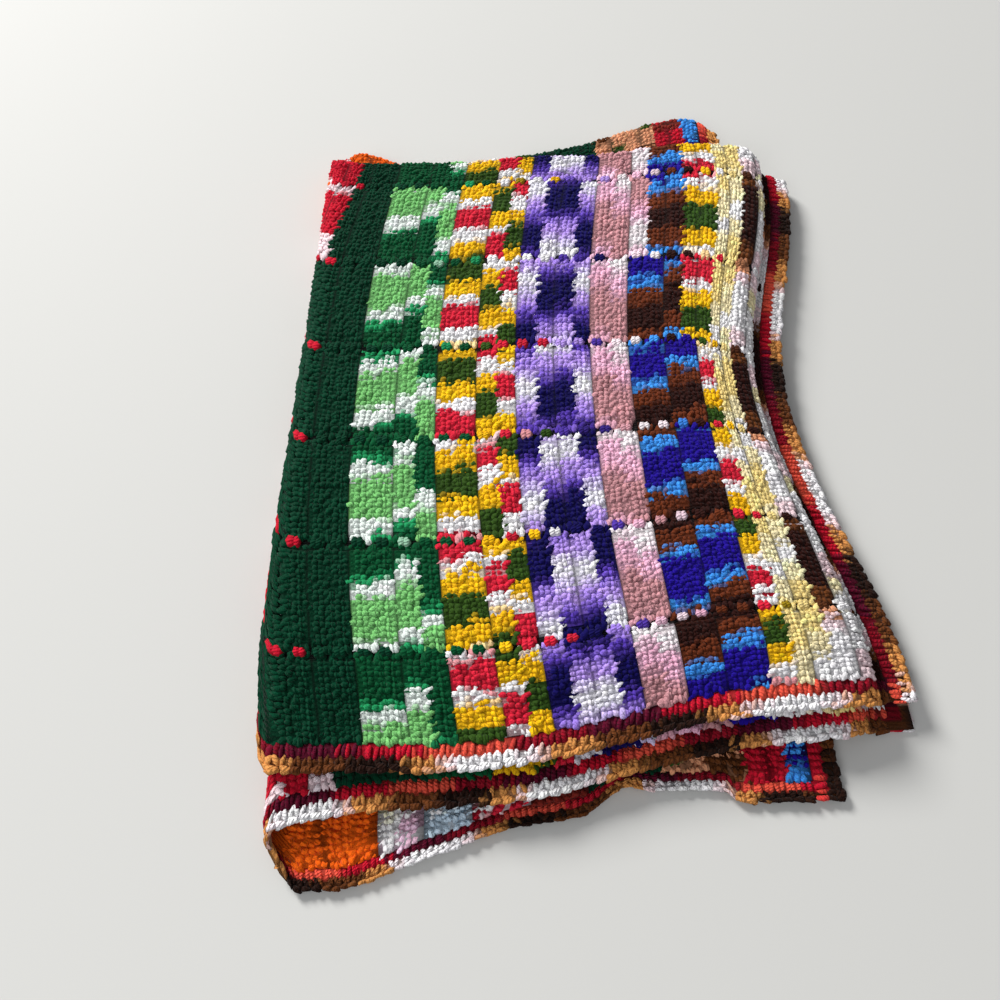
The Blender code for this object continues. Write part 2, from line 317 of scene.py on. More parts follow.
def stitchMarks():
    # Stitch numbers and their places.
    marks, places = [-1], [seams[0] - (seams[1] - seams[0]) / stripStitches[0]]
    for first, start, end in zip(stripFirst, seams, seams[1:]):
        marks.append(first)
        places.append(start)
        if start < 1 < end:
            marks += [first + bend for bend in foldBends]
            places += [1.0, 2.0]
    marks += [stitchCount, stitchCount + 1]
    places += [seams[-1], seams[-1] + (seams[-1] - seams[-2]) / stripStitches[-1]]
    return np.array(marks, float), np.array(places)


markNumbers, markPlaces = stitchMarks()


def stripOf(stitches):
    return np.searchsorted(stripFirst, stitches, "right") - 1


def stitchAt(stitches, sideways):
    # Where a stitch number lies: a strip leaves room for its seams, but none beside the border.
    strip = stripOf(stitches)
    first = stripFirst[strip]
    length = np.array(stripStitches)[strip]
    before = np.where(strip == 0, 0.0, seamMargin)
    after = np.where(strip == len(stripStitches) - 1, 0.0, seamMargin)
    pitch = (length - before - after) / (length - seamWidth)
    middle = first + before + (stitches - first + 0.5) * pitch
    return middle[:, None] + sideways * pitch[:, None]


# Towards the right, the seams of the outer layer lean to the front.
lean = dict(pull=0.1, edge=1.3, fromX=-30.0, toX=176.0, most=1.2, power=1.7)


def leaning(place, along):
    edge = lean["edge"] * borderWidth / (seamFrontY[-1] - seamFrontY[0])
    start = upper(lean["fromX"])
    right = np.clip((along - start) / (upper(lean["toX"]) - start), 0.0, lean["most"])
    pull = lean["pull"] * right ** lean["power"]
    leaned = edge + (place - edge) * (1 - pull * (1 - place ** 3))
    return np.where((place > edge) & (place < 1), leaned, place)


# The lower half's inner border is narrower by this share.
narrowing = dict(share=0.4, fade=(starts["turn"] - 5, starts["turn"] + 25), reach=0.3)


def narrowed(place, along):
    fromEdge = 3 - place
    narrow = narrowing["share"] * (1 - smooth(*narrowing["fade"], along))
    pulled = narrow * innerBorderPlace * (1 - smooth(0.0, narrowing["reach"], fromEdge - innerBorderPlace))
    return 3 - np.where(fromEdge <= innerBorderPlace, fromEdge * (1 - narrow), fromEdge - pulled)


evenedReach = (0.25, 0.8)    # shares of the inner layer's depth


def unstretched(place, along):
    # Near the inner layer's front its stitches are as wide as elsewhere, however deep the layer is.
    fromFront = 3 - place - innerBorderPlace
    depth = sectionValue("back", along) - sectionValue("innerFront", along)
    evened = (foldToFronts[1] / depth - 1) * (1 - smooth(*evenedReach, fromFront))
    return narrowed(np.where((place > 2) & (fromFront > 0), place - fromFront * evened, place), along)


def onRows(row, stitch, height):
    # A point by its row, stitch and height: the crochet's own coordinates.
    place = np.interp(stitch, markNumbers, markPlaces)
    along = rowAlong(row, place)
    return onCloth(along, unstretched(leaning(place, along), along), height)


# Yarn colours, as they look by daylight, 0 to 255.
yarns = dict(
    darkGreen=(0, 60, 38), deepGreen=(4, 82, 46), midGreen=(36, 156, 96), lightGreen=(126, 200, 118),
    mint=(238, 248, 242), white=(252, 250, 253), gold=(255, 196, 22),
    raspberry=(220, 38, 62), olive=(52, 82, 26), navy=(20, 14, 88), violet=(104, 72, 198),
    lilac=(196, 162, 250), lavender=(246, 244, 255), pink=(250, 190, 218), rose=(206, 148, 154),
    shell=(250, 240, 244), indigo=(34, 16, 146), sky=(66, 152, 240), rust=(108, 50, 26),
    umber=(48, 20, 16), cream=(255, 228, 150), butter=(255, 240, 192), crimson=(204, 22, 48),
    maroon=(96, 14, 42), coral=(240, 90, 70), darkRed=(150, 18, 38), tan=(214, 146, 80),
    brown=(104, 58, 28), blackBrown=(38, 20, 14), palePink=(250, 222, 228), orange=(255, 106, 20),
    paleYellow=(250, 248, 214), paleBlue=(206, 228, 246), peach=(232, 162, 122), redBrown=(132, 42, 34),
    babyPink=(248, 202, 226),
)


def linear(color):
    share = np.array(color, float) / 255
    return np.where(share <= 0.04045, share / 12.92, ((share + 0.055) / 1.055) ** 2.4)


# Each yarn's repeat: its colours and how many stitches each one lasts, from the
# back of a square to its front. Start is how far the repeat has run at the back of
# the first strip, drift how much further it is in each next strip, and rows how
# much further in each row of a square.
Colorway = namedtuple("Colorway", "runs start drift rows")
colorways = dict(
    pine=Colorway([("darkGreen", 11)], 0.0, 0.0, (0.0,)),
    meadow=Colorway([("deepGreen", 7.8), ("midGreen", 0.8), ("mint", 1.6), ("lightGreen", 4.4),
                     ("mint", 1.6), ("midGreen", 0.8)], 3.6, 1.33, (0.0, 0.2, 1.7, -3.0)),
    harvest=Colorway([("raspberry", 3.0), ("white", 1.4), ("gold", 2.3), ("olive", 2.9), ("gold", 2.1),
                      ("white", 1.3)], -0.4, 2.0, (0.0, 0.2, -4.0, 4.0)),
    iris=Colorway([("navy", 4.6), ("violet", 1.3), ("lilac", 2.1), ("lavender", 2.7), ("lilac", 2.1),
                   ("violet", 1.2)], 3.4, 2.15, (-5.5, 0.0, 0.3, -5.2)),
    blush=Colorway([("shell", 3.8), ("pink", 3.2), ("rose", 6.0), ("pink", 2.0)], 2.4, 0.35,
                   (0.0, -1.6, 5.0)),
    dusk=Colorway([("umber", 3.2), ("rust", 2.1), ("sky", 1.2), ("indigo", 4.0), ("sky", 1.2),
                   ("rust", 2.0)], 0.4, 1.9, (0.0, 0.1, 2.3, 2.5)),
    vanilla=Colorway([("cream", 5.0), ("butter", 3.2), ("white", 2.0), ("butter", 2.4)], 0.0, 3.1,
                     (0.0, 2.4)),
    bark=Colorway([("brown", 1.5), ("umber", 6.5), ("brown", 2.0), ("peach", 1.0), ("palePink", 1.5),
                   ("white", 5.5), ("palePink", 2.0)], 10.0, 10.0, (0.0,)),
    snow=Colorway([("white", 5.0), ("palePink", 3.0), ("butter", 2.0)], 0.0, 1.4, (0.0,)),
    berry=Colorway([("crimson", 5.5), ("palePink", 3.5)], 0.0, 5.5, (7.8, 7.5, 7.2)),
    currant=Colorway([("crimson", 5.5), ("palePink", 3.5)], 0.0, 1.5, (7.8, 3.3, 7.8)),
    orange=Colorway([("orange", 11)], 0.0, 0.0, (0.0,)),
    pastel=Colorway([("white", 2.6), ("paleYellow", 2.2), ("white", 1.8), ("paleBlue", 2.2), ("white", 2.0),
                     ("babyPink", 2.4)], 0.0, 1.7, (0.0, 0.3, 4.0, 6.5)),
    sunset=Colorway([("raspberry", 3.4), ("white", 2.2), ("raspberry", 2.6), ("redBrown", 3.2),
                     ("palePink", 1.8)], 0.0, 1.9, (0.0, 0.3, 4.0, 6.5)),
    earth=Colorway([("peach", 3.4), ("olive", 1.2), ("peach", 3.0), ("brown", 2.4)], 0.0, 1.5,
                   (0.0, 0.3, 3.0, 5.0)),
    ruby=Colorway([("crimson", 9.0), ("redBrown", 2.0)], 0.0, 1.0, (0.0, 0.4)),
    sea=Colorway([("sky", 6.0), ("indigo", 1.0)], 0.0, 1.0, (0.0,)),
)

# The squares of a strip from the lower right end, and the rows that each one has.
lowerColumns = [("sea", 1), ("ruby", 2), ("earth", 4), ("pine", 5), ("sunset", 4), ("pastel", 4),
                ("orange", 3)]
upperColumns = [("berry", 3), ("pine", 4), ("meadow", 4), ("harvest", 4), ("iris", 4)]
innerColumns = [("orange", 1), ("currant", 3), ("pine", 4), ("meadow", 3), ("harvest", 4), ("iris", 4)]
lastColumns = [("vanilla", 2), ("bark", 1), ("snow", 1), ("bark", 2)]
# Rows of blush, dusk and harvest between them, strip by strip from the front.
middleRows = [(2, 4, 1), (2, 4, 1), (2, 4, 1), (2, 4, 1), (2, 3, 2), (3, 2, 2), (3, 2, 2)]
middleNames = ("blush", "dusk", "harvest")
firstInnerStrip = len(seamFrontY)
# What takes the place of the first two squares of the upper columns: fewer red rows
# at the front, and an orange one before them in the two strips at the back.
backTurn = [("orange", 1), ("berry", 3), ("pine", 3)]
turnColumns = {0: [("berry", 2), ("pine", 5)], 5: backTurn, 6: backTurn}
secondHarvest = 5.6          # how much further the harvest yarn has run in its second square


def columnsOf(strip):
    columns = upperColumns if strip < firstInnerStrip else innerColumns
    if strip in turnColumns:
        columns = turnColumns[strip] + columns[2:]
    middle = middleRows[min(strip, len(middleRows) - 1)]
    return lowerColumns + columns + list(zip(middleNames, middle)) + lastColumns


tableStep = 8                # colour samples for each stitch of a repeat


def colorTable(runs, blur):
    # One repeat of a yarn as colours, softly blended where they meet.
    table = np.concatenate([np.repeat(linear(yarns[name])[None], max(1, round(length * tableStep)), 0)
                            for name, length in runs])
    reach = max(1, round(blur * tableStep))
    shifts = range(-reach, reach + 1)
    return sum(np.roll(table, shift, 0) for shift in shifts) / len(shifts)


# Over how many stitches a yarn's colours run into each other.
softBlur = dict(iris=0.7, blush=0.7)
plainBlur = 0.12
tables = {name: colorTable(colorway.runs, softBlur.get(name, plainBlur))
          for name, colorway in colorways.items()}


def rowColors():
    # For each strip and row: the yarn, how far it has run at the back, the row's number in its
    # square and how many rows that square has.
    plan = {}
    for strip in range(len(stripStitches)):
        row = 0
        seen = set()
        for name, rows in columnsOf(strip):
            colorway = colorways[name]
            phase = colorway.start + colorway.drift * strip + secondHarvest * (name in seen)
            seen.add(name)
            for k in range(rows):
                plan[strip, row] = (name, phase + colorway.rows[k % len(colorway.rows)], k, rows)
                row += 1
    return plan


rowPlan = rowColors()


def yarnColor(row, stitch, share):
    # Colour where a stitch's yarn has run this share of its length.
    strip = int(stripOf(stitch))
    name, phase = rowPlan[strip, row][:2]
    fromBack = stripStitches[strip] - seamWidth - 1 - (stitch - stripFirst[strip])
    table = tables[name]
    at = ((phase + fromBack + share) * tableStep).astype(int) % len(table)
    return table[at]


# A strand of yarn as a closed tube in row, stitch and height coordinates. Loops are
# its faces' corners in one row, with their two maps; counts says how many each face has.
Strand = namedtuple("Strand", "corners loops counts share number strand cell")
stitchWidth = 7.3
bakeMargin = 0.06


def strand(points, side, flat, sides, cell):
    # Points are (row mm, stitch mm, height mm, size); cell is its place in the bake map.
    points = np.array(points, float)
    centre, size = points[:, :3], points[:, 3]
    onward = np.gradient(centre, axis=0)
    onward /= np.linalg.norm(onward, axis=1, keepdims=True)
    over = np.cross(onward, [0.0, 0.0, 1.0])
    over /= np.linalg.norm(over, axis=1, keepdims=True)
    up = np.cross(over, onward)
    angles = 2 * np.pi * np.arange(sides) / sides
    ring = (over[:, None] * np.cos(angles)[None, :, None] * side
            + up[:, None] * np.sin(angles)[None, :, None] * flat) * size[:, None, None]
    body = (centre[:, None] + ring)[1:-1].reshape(-1, 3)
    length = np.concatenate([[0.0], np.cumsum(np.linalg.norm(np.diff(centre, axis=0), axis=1))])
    share = length / length[-1]
    tips = len(body), len(body) + 1
    loops, counts, maps = [], [], []
    for i, first in enumerate(range(0, len(body) - sides, sides)):
        low, high = share[i + 1], share[i + 2]
        for j in range(sides):
            k = (j + 1) % sides
            loops += [first + j, first + k, first + k + sides, first + j + sides]
            maps += [(low, j), (low, j + 1), (high, j + 1), (high, j)]
            counts.append(4)
    last = len(body) - sides
    for j in range(sides):
        k = (j + 1) % sides
        loops += [k, j, tips[0], last + j, last + k, tips[1]]
        maps += [(share[1], j + 1), (share[1], j), (0.0, j + 0.5),
                 (share[-2], j), (share[-2], j + 1), (1.0, j + 0.5)]
        counts += [3, 3]
    maps = np.array(maps, float) * [1.0, 1.0 / sides]
    low, high = np.array(cell[:2]), np.array(cell[2:])
    baked = low + (high - low) * (bakeMargin + (1 - 2 * bakeMargin) * maps)
    corners = np.concatenate([body, centre[:1], centre[-1:]])
    cornerShare = np.concatenate([np.repeat(share[1:-1], sides), [0.0, 1.0]])
    return Strand(corners, np.array(loops), np.array(counts), cornerShare, np.zeros(len(corners), int),
                  maps * [length[-1], 1.0], baked)


def joined(strands):
    # Several strands as one stitch.
    sizes = [len(item.corners) for item in strands]
    firsts = np.cumsum([0] + sizes[:-1])
    parts = {field: np.concatenate([getattr(item, field) for item in strands]) for field in Strand._fields}
    parts["loops"] = np.concatenate([item.loops + first for item, first in zip(strands, firsts)])
    parts["number"] = np.repeat(np.arange(len(strands)), sizes)
    return Strand(**parts)


# A loop of a stitch: where it starts and ends, in millimetres onward and sideways,
# how far it bends aside, and how thick it is.
Loop = namedtuple("Loop", "start end bend thick", defaults=(1.0,))
# Its yarn: half widths, how high it lies at its ends and between, and its size at
# shares of its length. Its colour lies nearer the square's back the further sideways it is.
loopForm = dict(side=2.35, flat=1.6, foot=0.3, lift=1.3, arch=0.7, share=0.5, shareSlope=0.6,
                sizes=((0.0, 0.0), (0.14, 0.84), (0.5, 1.0), (0.86, 0.8), (1.0, 0.0)))


def loopStrand(loop, cell, sides):
    start, end = np.array(loop.start), np.array(loop.end)
    along = end - start
    aside = np.array([-along[1], along[0]]) / math.hypot(*along)
    points = []
    for t, size in loopForm["sizes"]:
        lift = math.sin(math.pi * t) ** loopForm["arch"]
        x, y = start + along * t + aside * loop.bend * lift
        points.append((x, y, loopForm["foot"] + loopForm["lift"] * lift, size))
    made = strand(points, loopForm["side"] * loop.thick, loopForm["flat"] * loop.thick, sides, cell)
    share = loopForm["share"] - loopForm["shareSlope"] * (start[1] + end[1]) / 2 / stitchWidth
    return made._replace(share=np.full(len(made.share), share))


def loopedStitch(loops, sides=5):
    # A stitch of these loops, with a strip of its square in the bake map for each.
    count = len(loops)
    return joined([loopStrand(loop, (0.0, k / count, 1.0, (k + 0.92) / count), sides)
                   for k, loop in enumerate(loops)])


# A double crochet, four loops long and two across. Rows are worked to and fro: in
# even ones a leg of each stitch reaches into the next row.
evenLoops = (
    Loop((-1.5, -2.6), (4.2, -1.0), 0.4), Loop((-1.4, 0.7), (4.0, 2.7), 0.5),
    Loop((3.2, -2.9), (8.2, -0.7), 0.4), Loop((3.5, 0.8), (8.0, 2.9), 0.3),
    Loop((7.2, -2.6), (12.0, -1.0), 0.3), Loop((7.4, 0.6), (11.8, 2.8), 0.4),
    Loop((10.9, -3.0), (16.0, -1.0), 0.3), Loop((11.4, -1.3), (19.4, 3.4), 0.7, 0.82),
)
oddLoops = (
    Loop((-1.2, -0.9), (4.1, -2.7), -0.5), Loop((-1.2, 2.7), (4.1, 1.0), -0.4),
    Loop((3.2, -2.8), (8.2, -1.1), 0.6), Loop((3.4, 0.9), (8.2, 2.7), 0.4),
    Loop((7.1, -0.9), (12.0, -2.7), -0.3), Loop((7.2, 2.9), (12.0, 1.1), -0.5),
    Loop((10.7, -2.5), (15.5, -1.2), 0.5), Loop((10.7, 1.1), (15.5, 2.6), 0.5),
)
# The two sides of a loop that joins two strips.
seamLoops = (Loop((0.7, -4.6), (0.9, 4.5), -1.2, 1.2), Loop((-0.7, -4.4), (-0.5, 4.7), 1.2, 1.2))
# Single crochet: two legs that meet at their foot. The last row has shorter legs and
# a braid along the edge.
firstRowLoops = (Loop((-2.0, 9.8), (-1.8, 0.6), -0.4, 0.76), Loop((1.6, 9.8), (1.7, 0.4), 0.4, 0.76))
lastRowLoops = (
    Loop((-3.1, 7.0), (-0.3, -1.4), -0.3, 0.7), Loop((2.9, 7.0), (0.8, -1.2), 0.3, 0.7),
    Loop((-4.2, 5.6), (4.0, 7.8), 0.7, 0.9), Loop((-3.8, 9.2), (4.4, 7.2), -0.6, 0.9),
)

# A coarse stitch for what lies between the layers and under them.
plainForm = dict(side=3.4, flat=2.6, sides=4, cell=(0.0, 0.0, 1.0, 1.0), points=(
    (-0.2, 0.4, 0.0, 0.0), (1.6, 0.3, 0.2, 0.9), (7.0, 0.0, 0.1, 1.0), (12.6, -0.3, 0.0, 0.8),
    (14.4, -0.4, 0.0, 0.0)))

# How far squares slope down to their seams, in millimetres and stitches.
seamSlope = dict(depth=1.1, reach=(0.2, 1.4))


def paintMesh(mesh, colors, domain):
    # The yarn's colours, kept in the mesh for its material.
    paint = mesh.color_attributes.new("yarn", "FLOAT_COLOR", domain)
    solid = np.concatenate([colors, np.ones(colors.shape[:2] + (1,))], -1)
    paint.data.foreach_set("color", solid.reshape(-1).astype(np.float32))


def buildMesh(name, points, template, colors):
    # Joins all copies of a stitch into one mesh with its colours and two maps.
    copies, size = points.shape[:2]
    loops = (template.loops + np.arange(copies)[:, None] * size).ravel()
    counts = np.tile(template.counts, copies)
    faceStarts = np.cumsum(counts) - counts
    mesh = bpy.data.meshes.new(name)
    mesh.vertices.add(copies * size)
    mesh.vertices.foreach_set("co", points.reshape(-1).astype(np.float32))
    mesh.loops.add(len(loops))
    mesh.loops.foreach_set("vertex_index", loops.astype(np.int32))
    mesh.polygons.add(len(counts))
    mesh.polygons.foreach_set("loop_start", faceStarts.astype(np.int32))
    mesh.update(calc_edges=True)
    mesh.validate()
    mesh.shade_smooth()
    paintMesh(mesh, np.clip(colors, 0.0, 1.0), "POINT")
    # In the bake map each copy has a square of its own; the strand map is the same for all.
    across = math.ceil(math.sqrt(copies))
    order = np.arange(copies)
    origin = np.stack([order % across, order // across], -1)[:, None]
    baked = (origin + template.cell) / across
    for label, values in (("OFBake", baked), ("strand", np.tile(template.strand, (copies, 1)))):
        mesh.uv_layers.new(name=label).uv.foreach_set("vector", values.reshape(-1).astype(np.float32))
    return mesh


# How much the stitches differ, in millimetres or as a share. Ragged ends of a
# strip reach over its seam or border. Rows sink at their turns, where two ribs meet.
uneven = dict(slant=0.06, pivot=7.0, size=0.04, row=0.3, stitch=0.3, height=0.12, loop=0.34, skin=0.14,
              tint=0.04, loopTint=0.07, run=0.25, loopRun=0.08, spread=0.8, ragged=3.2, raggedFrom=2.0)
ribs = dict(deep=1.35, shallow=0.6, reach=2.1)
# The stitch of a seam: where it lies in its row, and how far it holds the ragged ends in.
seamTie = dict(place=0.42, hold=0.8, reach=0.24)
rowOverrun = 0.1             # the last row ends within this share of a row


def ribDepth(rows, dx):
    # Even rows begin at a deep groove and odd ones end at the next.
    even = (rows % 2 == 0)[:, None]
    atStart = np.exp(-(dx / ribs["reach"]) ** 2)
    atEnd = np.exp(-((dx - rowHeight) / ribs["reach"]) ** 2)
    return np.where(even, ribs["deep"] * atStart, ribs["shallow"] * atStart + ribs["deep"] * atEnd)


def roughened(template, copies):
    # Copies of a stitch's corners, with uneven loops and skin.
    loops = template.number[-1] + 1
    corners = np.repeat(template.corners[None], copies, 0)
    corners = corners + rng.normal(0, uneven["loop"], (copies, loops, 3))[:, template.number]
    return corners + rng.normal(0, uneven["skin"], corners.shape)


def crochet(name, template, rows, stitches, material, face=1):
    # Copies of a stitch at these rows and stitches, each a little different. Face
    # is 1 for the side that is outermost on the outer layer, or -1 for the other.
    copies, loops = len(rows), template.number[-1] + 1
    corners = roughened(template, copies)
    slant = rng.normal(0, uneven["slant"], (copies, 1))
    size = 1 + rng.normal(0, uneven["size"], (copies, 1))
    dx = corners[..., 0] + rng.normal(0, uneven["row"], (copies, 1))
    dy = corners[..., 1] * size + slant * (corners[..., 0] - uneven["pivot"])
    dy = dy + rng.normal(0, uneven["stitch"], (copies, 1))
    strip = stripOf(stitches)
    inStrip = stitches - stripFirst[strip]
    first = (inStrip == 0)[:, None]
    last = (inStrip == np.array(stripStitches)[strip] - seamWidth - 1)[:, None]
    ragged = (uneven["spread"] + uneven["ragged"] * rng.random((copies, loops)))[:, template.number]
    ragged *= 1 - seamTie["hold"] * np.exp(-((dx / rowHeight - seamTie["place"]) / seamTie["reach"]) ** 2)
    aside = dy / uneven["raggedFrom"]
    dy = dy + ragged * (np.clip(aside, 0, 1) * last - np.clip(-aside, 0, 1) * first)
    onward = np.minimum(rows[:, None] + dx / rowHeight, rowCount + rowOverrun)
    at = stitchAt(stitches, dy / stitchWidth)
    strip = strip[:, None]
    fromSeam = np.minimum(np.where(strip > 0, at - stripFirst[strip], np.inf),
                          np.where(strip < len(stripStitches) - 1, stripFirst[strip + 1] - at, np.inf))
    sunk = seamSlope["depth"] * (1 - smooth(*seamSlope["reach"], fromSeam)) + ribDepth(rows, dx)
    dz = (corners[..., 2] * size + rng.normal(0, uneven["height"], (copies, 1)) - sunk) * face
    points = onRows(onward, at, dz)
    run = rng.normal(0, uneven["run"], (copies, 1)) + rng.normal(0, uneven["loopRun"], (copies, loops))
    run = template.share + run[:, template.number]
    base = np.stack([yarnColor(row, stitch, share) for row, stitch, share in zip(rows, stitches, run)])
    shade = rng.normal(1, uneven["tint"], (copies, 1)) + rng.normal(0, uneven["loopTint"], (copies, loops))
    colors = base * shade[:, template.number, None]
    mesh = buildMesh(name, points, template, colors)
    return addPiece(name, mesh, material, "squares")


def addPiece(name, mesh, material, node):
    mesh.materials.append(material)
    piece = bpy.data.objects.new(name, mesh)
    bpy.context.scene.collection.objects.link(piece)
    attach(piece, "root")
    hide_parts(node)
    print(name, len(mesh.loops) - 2 * len(mesh.polygons), "triangles")
    return piece


# Materials

class Value:
    # A number inside a material; sums and products of these make Math nodes.
    def __init__(self, tree, socket):
        self.tree = tree
        self.socket = socket

    def math(self, operation, *others):
        return self.tree.math(operation, self, *others)

    def __add__(self, other):
        return self.math("ADD", other)

    __radd__ = __add__

    def __sub__(self, other):
        return self.math("SUBTRACT", other)

    def __mul__(self, other):
        return self.math("MULTIPLY", other)

    __rmul__ = __mul__


class Tree:
    def __init__(self, material):
        material.use_nodes = True
        self.nodes = material.node_tree.nodes
        self.links = material.node_tree.links

    def put(self, socket, value):
        if isinstance(value, Value):
            self.links.new(value.socket, socket)
        elif hasattr(value, "is_output"):
            self.links.new(value, socket)
        else:
            socket.default_value = value

    def node(self, kind, settings=None, values=None):
        made = self.nodes.new(kind)
        for name, value in (settings or {}).items():
            setattr(made, name, value)
        for name, value in (values or {}).items():
            self.put(made.inputs[name], value)
        return made

    def math(self, operation, *values):
        made = self.node("ShaderNodeMath", dict(operation=operation), dict(enumerate(values)))
        return Value(self, made.outputs[0])


yarnFinish = dict(roughness=0.95, sheen=0.04, sheenRoughness=0.5, specular=0.06, twist=2.3, twistDepth=0.3,
                  twistPaintedShade=0.05, fuzzScale=750.0, fuzzDetail=3.0, fuzzRoughness=0.65, fuzzDepth=1.0,
                  bump=1.0, bumpHeight=0.001, mottle=0.42)


def yarnMaterial(name, finish):
    # Soft acrylic yarn in the colour that the mesh holds, with its twist and fuzz; the twist is also painted
    # shade.
    material = bpy.data.materials.new(name)
    tree = Tree(material)
    shader = tree.nodes["Principled BSDF"]
    paint = tree.node("ShaderNodeAttribute", dict(attribute_name="yarn"))
    placeNode = tree.node("ShaderNodeTexCoord")
    fuzz = tree.node("ShaderNodeTexNoise",
                     values={"Vector": placeNode.outputs["Object"], "Scale": finish["fuzzScale"],
                             "Detail": finish["fuzzDetail"], "Roughness": finish["fuzzRoughness"]})
    fuzzValue = Value(tree, fuzz.outputs["Fac"])
    strandMap = tree.node("ShaderNodeUVMap", dict(uv_map="strand"))
    split = tree.node("ShaderNodeSeparateXYZ", values={"Vector": strandMap.outputs["UV"]})
    lengthwise = Value(tree, split.outputs["X"])
    around = Value(tree, split.outputs["Y"])
    turns = (lengthwise * (2 * math.pi / finish["twist"]) + around * (4 * math.pi)).math("SINE")
    # Fuzz mottle is the yarn's own tone; the twist term is painted shade between its plies.
    shade = 1.0 + (fuzzValue - 0.5) * (2 * finish["mottle"]) + turns * finish["twistPaintedShade"]
    tinted = tree.node("ShaderNodeVectorMath", dict(operation="SCALE"),
                       {0: paint.outputs["Color"], "Scale": shade})
    height = turns * finish["twistDepth"] + fuzzValue * finish["fuzzDepth"]
    bump = tree.node("ShaderNodeBump", values={"Strength": finish["bump"], "Distance": finish["bumpHeight"],
                                               "Height": height})
    tree.put(shader.inputs["Base Color"], tinted.outputs["Vector"])
    tree.put(shader.inputs["Normal"], bump.outputs["Normal"])
    for socket, setting in (("Roughness", "roughness"), ("Sheen Weight", "sheen"),
                            ("Sheen Roughness", "sheenRoughness"), ("Specular IOR Level", "specular")):
        shader.inputs[socket].default_value = finish[setting]
    return material


def gridSolid(name, points, cellColors, shades, cells):
    # A thin closed sheet: points is (rows, columns, 2 sides, 3); cells says which are
    # kept. A cell's corners have its colour times their own painted shade.
    rows, columns = points.shape[:2]
    number = np.arange(rows * columns * 2).reshape(rows, columns, 2)
    faces, owners = [], []
    kept = set(zip(*np.nonzero(cells)))
    for i, j in sorted(kept):
        ring = [(i, j), (i + 1, j), (i + 1, j + 1), (i, j + 1)]
        neighbours = [(i, j - 1), (i + 1, j), (i, j + 1), (i - 1, j)]
        faces.append([number[a, b, 0] for a, b in ring])
        faces.append([number[a, b, 1] for a, b in reversed(ring)])
        for start, end, neighbour in zip(ring, ring[1:] + ring[:1], neighbours):
            if neighbour not in kept:
                faces.append([number[start][1], number[end][1], number[end][0], number[start][0]])
        owners += [(i, j)] * (len(faces) - len(owners))
    faces, owners = np.array(faces), np.array(owners)
    corners = faces // 2
    colors = cellColors[owners[:, 0], owners[:, 1]][:, None] * shades[corners // columns, corners % columns]
    used, renumbered = np.unique(faces, return_inverse=True)
    mesh = bpy.data.meshes.new(name)
    mesh.from_pydata(points.reshape(-1, 3)[used].tolist(), [], renumbered.reshape(faces.shape).tolist())
    mesh.shade_smooth()
    paintMesh(mesh, colors, "CORNER")
    mesh.uv_layers.new(name="strand")
    return mesh


# The ground's half thickness and the painted shade on its yarn colour: between stitches, in the deep
# grooves and, near black, in the seam hollows. Its edges lie at these shares of a row, above and below.
groundFormAndShade = dict(half=1.85, seamHalf=0.4, shade=0.6, paintedGrooveShade=0.22, paintedSeamShadow=0.015,
                    upperEdges=(0.0, 0.09, 0.91), lowerEdges=(0.0, 0.5))


def baseSheet(material):
    # The ground of the squares, which shows between the stitches: its yarn's colour with painted shade.
    rowEdges = []
    for row in range(rowCount):
        shares = groundFormAndShade["upperEdges" if row >= turnRow else "lowerEdges"]
        rowEdges += [row + share for share in shares]
    rowEdges = np.array(rowEdges + [rowCount])
    seamEdges = [edge + side for edge in stripFirst[1:-1] for side in (-seamWidth / 2, seamWidth / 2)]
    stitchEdges = np.unique(np.concatenate([np.arange(stitchCount + 1), markNumbers[1:-1], seamEdges]))
    row, stitch = np.meshgrid(rowEdges, stitchEdges, indexing="ij")
    onSeam = np.abs(stitch[..., None] - stripFirst[1:-1]).min(-1) < seamWidth
    half = np.where(onSeam, groundFormAndShade["seamHalf"], groundFormAndShade["half"])
    points = np.stack([onRows(row, stitch, half), onRows(row, stitch, -half)], 2)
    # Painted shade: darker between stitches, darker still in the grooves where rows turn, near black at
    # seams.
    shades = np.where(row % 2 == 0, groundFormAndShade["paintedGrooveShade"], groundFormAndShade["shade"])
    shades = np.where(onSeam, groundFormAndShade["paintedSeamShadow"], shades)
    halfway = np.array([0.5])
    colors = np.array([[yarnColor(int(onward), int(aside), halfway)[0] for aside in stitchEdges[:-1]]
                       for onward in rowEdges[:-1]])
    cells = np.ones(colors.shape[:2], bool)
    mesh = gridSolid("ground_of_squares", points, colors, shades[..., None], cells)
    return addPiece("ground_of_squares", mesh, material, "squares")


# The border: two rows of single crochet round the whole edge.
borderRow = 9.0
borderStitch = 7.0
borderBlur = 4.0
# Each row's stitch, where it starts outward, its colours with their lengths in
# millimetres, and where they begin on each edge and how much they are drawn together there.
BorderRow = namedtuple("BorderRow", "name loops outward runs starts")
RunStart = namedtuple("RunStart", "at stretch")
firstRow = BorderRow(
    "border_first_row", firstRowLoops, 0.0,
    [("maroon", 50), ("crimson", 46), ("coral", 52), ("darkRed", 46)],
    dict(outer=RunStart(384, 1.0), inner=RunStart(386, 0.74), start=RunStart(20, 1.0), end=RunStart(60, 1.0)))
lastRow = BorderRow(
    "border_last_row", lastRowLoops, borderRow - 0.6,
    [("brown", 36), ("blackBrown", 38), ("tan", 22), ("palePink", 8), ("white", 46), ("palePink", 8),
     ("tan", 30)],
    dict(outer=RunStart(394, 1.0), inner=RunStart(458, 0.83), start=RunStart(90, 1.0), end=RunStart(40, 1.0)))
borderUneven = dict(slant=0.12, onward=0.4, outward=0.5, height=0.15, run=3.0, tint=0.08)
longEdges = ("outer", "inner")
